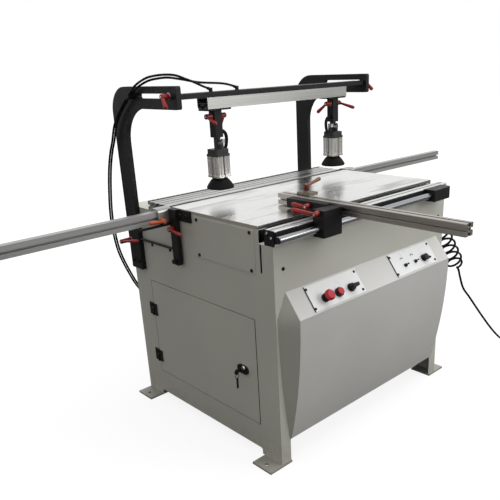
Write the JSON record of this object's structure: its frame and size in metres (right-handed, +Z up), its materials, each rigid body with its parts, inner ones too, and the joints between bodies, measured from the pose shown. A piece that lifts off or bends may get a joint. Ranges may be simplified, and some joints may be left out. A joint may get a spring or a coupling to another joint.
{
  "type": "line boring machine",
  "caption": "Floor-standing line boring machine: sheet cabinet with sloped console, table with a drill slot, press clamps on a gantry and long side fences.",
  "frame": {"origin": "on the floor under the middle of the cabinet, in the centre of the four anchor holes", "axes": "+X to the right of a worker at the console, +Y to the back, +Z up"},
  "size_m": [2.644, 1.4771, 1.3731],
  "materials": {
    "cabinet_paint": "fine satin paint",
    "console_paint": "satin paint",
    "black_paint": "black satin coat",
    "aluminium": "anodised extrusion",
    "ground_steel": "ground and polished",
    "chrome": "polished",
    "plate": "pale brushed plate",
    "black_plastic": "fine grain",
    "red_plastic": "moulded",
    "orange_plastic": "moulded",
    "rubber": "matt",
    "hose": "smooth hose",
    "steel": "turned",
    "cast": "machined casting",
    "motor_paint": "hammered paint",
    "switchgear": "grey housings on a plate",
    "brass": "turned"
  },
  "bodies": {
    "frame": {"cabinet_shell": "cabinet_paint", "feet": "cabinet_paint", "side_covers": "cabinet_paint", "console_housing": "console_paint", "control_plates": "plate", "control_bezels": "black_plastic", "door_hinges": "black_paint", "table_plate": "ground_steel", "rear_table": "aluminium", "front_rail": "aluminium", "rail_fittings": "black_paint", "guide_bar": "chrome", "fence_brackets": "black_paint", "fence_clamps": "aluminium", "bracket_levers": "red_plastic", "gantry_arms": "black_paint", "electrics_panel": "switchgear", "guide_columns": "steel", "feed_cylinders": "aluminium", "air_hoses": "hose", "hose_fittings": "black_plastic", "curly_hose": "hose", "hose_tail": "hose", "hose_coupling": "brass"},
    "door": {"door": "cabinet_paint", "lock_body": "black_plastic"},
    "lock": {"lock_key": "steel"},
    "estop": {"estop_button": "red_plastic"},
    "stop_push": {"stop_button": "red_plastic"},
    "selector": {"selector_knob": "black_plastic"},
    "toggle_left": {"left_toggle": "black_plastic"},
    "toggle_right": {"right_toggle": "black_plastic"},
    "rotary": {"rotary_knob": "black_plastic"},
    "carriage": {"front_carriage": "black_paint"},
    "carriage_lever": {"carriage_lever": "red_plastic"},
    "saddle_lever": {"saddle_lever": "red_plastic"},
    "front_fence": {"front_fence": "aluminium"},
    "fence_stop": {"fence_stop": "aluminium"},
    "stop_lever": {"stop_lever": "orange_plastic"},
    "left_fence": {"left_fence": "aluminium"},
    "right_fence": {"right_fence": "aluminium"},
    "left_fence_lever": {"left_fence_lever": "orange_plastic"},
    "right_fence_lever": {"right_fence_lever": "orange_plastic"},
    "beam": {"gantry_beam": "black_paint", "clamp_rail": "aluminium", "beam_hoses": "hose"},
    "left_beam_lever": {"left_beam_lever": "red_plastic"},
    "right_beam_lever": {"right_beam_lever": "red_plastic"},
    "left_clamp": {"left_clamp": "black_paint", "left_clamp_levers": "red_plastic", "left_cylinder": "aluminium"},
    "right_clamp": {"right_clamp": "black_paint", "right_clamp_levers": "red_plastic", "right_cylinder": "aluminium"},
    "left_press": {"left_press": "rubber"},
    "right_press": {"right_press": "rubber"},
    "drill_unit": {"drill_head": "cast", "drill_spindles": "steel", "motor": "motor_paint"},
    "centre_spindle": {"centre_spindle": "steel"}
  },
  "joints": [
    {"name": "door_swing", "type": "hinge", "parent": "frame", "child": "door", "pos_m": [-0.505, 0.3265, 0.347], "axis": [0, 0, 1], "range_deg": [-110, 0]},
    {"name": "lock_turn", "type": "hinge", "parent": "door", "child": "lock", "pos_m": [-0.506, -0.252, 0.34], "axis": [1, 0, 0], "range_deg": [0, 90]},
    {"name": "estop_press", "type": "slide", "parent": "frame", "child": "estop", "axis": [0, -0.7923, 0.6102], "range_m": [-0.005, 0], "stiffness_N_per_m": 2000},
    {"name": "stop_press", "type": "slide", "parent": "frame", "child": "stop_push", "axis": [0, -0.7923, 0.6102], "range_m": [-0.003, 0], "stiffness_N_per_m": 1200},
    {"name": "selector_turn", "type": "hinge", "parent": "frame", "child": "selector", "pos_m": [-0.164, -0.49002, 0.62643], "axis": [0, -0.7923, 0.6102], "range_deg": [-45, 45]},
    {"name": "toggle_left_tilt", "type": "hinge", "parent": "frame", "child": "toggle_left", "pos_m": [0.172, -0.48678, 0.62393], "axis": [1, 0, 0], "range_deg": [-15, 15]},
    {"name": "toggle_right_tilt", "type": "hinge", "parent": "frame", "child": "toggle_right", "pos_m": [0.24, -0.48678, 0.62393], "axis": [1, 0, 0], "range_deg": [-15, 15]},
    {"name": "rotary_turn", "type": "hinge", "parent": "frame", "child": "rotary", "pos_m": [0.298, -0.49002, 0.62643], "axis": [0, -0.7923, 0.6102], "range_deg": [-135, 135]},
    {"name": "carriage_slide", "type": "slide", "parent": "frame", "child": "carriage", "axis": [1, 0, 0], "range_m": [-0.165, 0.56]},
    {"name": "carriage_lever_turn", "type": "hinge", "parent": "carriage", "child": "carriage_lever", "pos_m": [-0.3223, -0.475, 0.923], "axis": [1, 0, 0], "range_deg": [0, 100]},
    {"name": "saddle_lever_turn", "type": "hinge", "parent": "carriage", "child": "saddle_lever", "pos_m": [-0.2583, -0.372, 0.92315], "axis": [1, 0, 0], "range_deg": [0, 100]},
    {"name": "front_fence_slide", "type": "slide", "parent": "carriage", "child": "front_fence", "axis": [0, 1, 0], "range_m": [-0.15, 0.15]},
    {"name": "fence_stop_slide", "type": "slide", "parent": "front_fence", "child": "fence_stop", "axis": [0, 1, 0], "range_m": [-0.12, 0.04]},
    {"name": "stop_lever_turn", "type": "hinge", "parent": "fence_stop", "child": "stop_lever", "pos_m": [-0.1917, -0.2985, 0.9596], "axis": [0, 0, 1], "range_deg": [-90, 90]},
    {"name": "left_fence_slide", "type": "slide", "parent": "frame", "child": "left_fence", "axis": [1, 0, 0], "range_m": [-0.045, 0]},
    {"name": "right_fence_slide", "type": "slide", "parent": "frame", "child": "right_fence", "axis": [1, 0, 0], "range_m": [0, 0.045]},
    {"name": "left_fence_lever_turn", "type": "hinge", "parent": "frame", "child": "left_fence_lever", "pos_m": [-0.556, 0.1037, 0.85812], "axis": [0, 1, 0], "range_deg": [-40, 80]},
    {"name": "right_fence_lever_turn", "type": "hinge", "parent": "frame", "child": "right_fence_lever", "pos_m": [0.556, 0.1037, 0.85812], "axis": [0, -1, 0], "range_deg": [-40, 80]},
    {"name": "beam_slide", "type": "slide", "parent": "frame", "child": "beam", "axis": [0, 1, 0], "range_m": [0, 0.185], "deforming": ["beam_hoses"]},
    {"name": "left_beam_lever_turn", "type": "hinge", "parent": "beam", "child": "left_beam_lever", "pos_m": [-0.5203, 0.03, 1.299], "axis": [1, 0, 0], "range_deg": [-60, 60]},
    {"name": "right_beam_lever_turn", "type": "hinge", "parent": "beam", "child": "right_beam_lever", "pos_m": [0.5203, 0.03, 1.299], "axis": [1, 0, 0], "range_deg": [-60, 60]},
    {"name": "left_clamp_slide", "type": "slide", "parent": "beam", "child": "left_clamp", "axis": [1, 0, 0], "range_m": [0, 0.25]},
    {"name": "right_clamp_slide", "type": "slide", "parent": "beam", "child": "right_clamp", "axis": [1, 0, 0], "range_m": [-0.25, 0]},
    {"name": "left_press_down", "type": "slide", "parent": "left_clamp", "child": "left_press", "axis": [0, 0, 1], "range_m": [-0.045, 0]},
    {"name": "right_press_down", "type": "slide", "parent": "right_clamp", "child": "right_press", "axis": [0, 0, 1], "range_m": [-0.045, 0]},
    {"name": "drill_feed", "type": "slide", "parent": "frame", "child": "drill_unit", "axis": [0, 0, 1], "range_m": [0, 0.06]},
    {"name": "centre_spindle_turn", "type": "hinge", "parent": "drill_unit", "child": "centre_spindle", "pos_m": [0, 0.13, 0.8], "axis": [0, 0, 1], "continuous": true}
  ]
}
